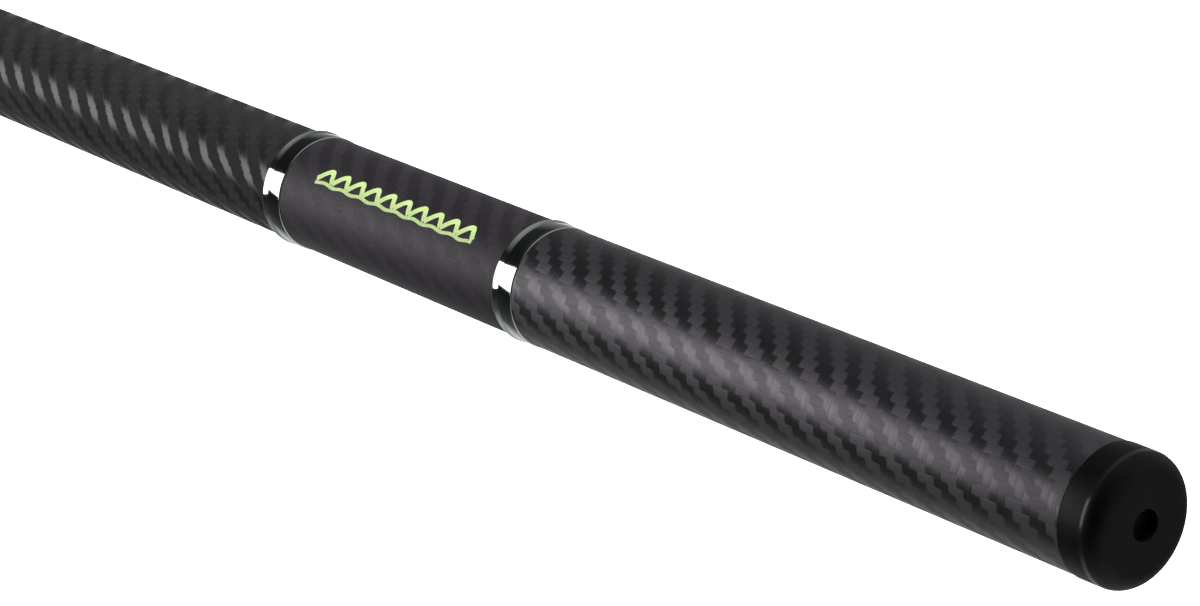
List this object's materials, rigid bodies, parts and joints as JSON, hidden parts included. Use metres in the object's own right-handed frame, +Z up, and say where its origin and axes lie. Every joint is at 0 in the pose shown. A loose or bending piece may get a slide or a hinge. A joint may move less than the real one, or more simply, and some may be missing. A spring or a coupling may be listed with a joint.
{
  "type": "beach sand scoop",
  "caption": "Long-handled beach sand scoop: carbon pole with woven grip, trim rings and rubber butt cap, and a perforated steel basket with cutting lip and foot plate.",
  "frame": {"origin": "on the pole's axis, at the middle of the hand grip", "axes": "+X along the pole towards the butt cap, the scoop head at -X; +Z up out of the basket's mouth, with the tool lying on its back"},
  "size_m": [1.3308, 0.185, 0.2063],
  "materials": {
    "shaft_carbon": "glossy clear coat over a 2x2 twill weave",
    "grip_carbon": "satin clear coat over a 2x2 twill weave",
    "soft_touch": "matt soft-touch coat",
    "ring_chrome": "polished",
    "cap_rubber": "fine moulded texture",
    "liner_plastic": "moulded",
    "core_plastic": "turned rod",
    "sheet_steel": "bead-blasted laser-cut sheet",
    "tube_steel": "brushed round the tube",
    "bar_steel": "drawn rod",
    "fastener_steel": "plain stainless",
    "weld_steel": "weld bead with heat tint",
    "label_ink": "screen-printed"
  },
  "bodies": {
    "scoop": {"pole_tube": "shaft_carbon", "pole_core": "core_plastic", "grip_sleeve": "grip_carbon", "label_sleeve": "soft_touch", "grip_ring": "ring_chrome", "shaft_ring": "ring_chrome", "socket_liner": "liner_plastic", "handle_socket": "tube_steel", "socket_bosses": "fastener_steel", "clamp_washers": "fastener_steel", "clamp_bolts": "fastener_steel", "clamp_nuts": "fastener_steel", "basket_deck": "sheet_steel", "basket_back": "sheet_steel", "basket_floor": "sheet_steel", "basket_side_left": "sheet_steel", "basket_side_right": "sheet_steel", "basket_bilge_left": "sheet_steel", "basket_bilge_right": "sheet_steel", "cutting_lip": "sheet_steel", "mouth_bar": "bar_steel", "brace_left": "bar_steel", "brace_right": "bar_steel", "spine_gusset": "sheet_steel", "foot_plate": "sheet_steel", "foot_gusset_left": "sheet_steel", "foot_gusset_right": "sheet_steel"},
    "cap": {"butt_cap": "cap_rubber"}
  },
  "joints": [
    {"name": "cap_pull", "type": "slide", "parent": "scoop", "child": "cap", "axis": [1, 0, 0], "range_m": [0, 0.035]}
  ]
}
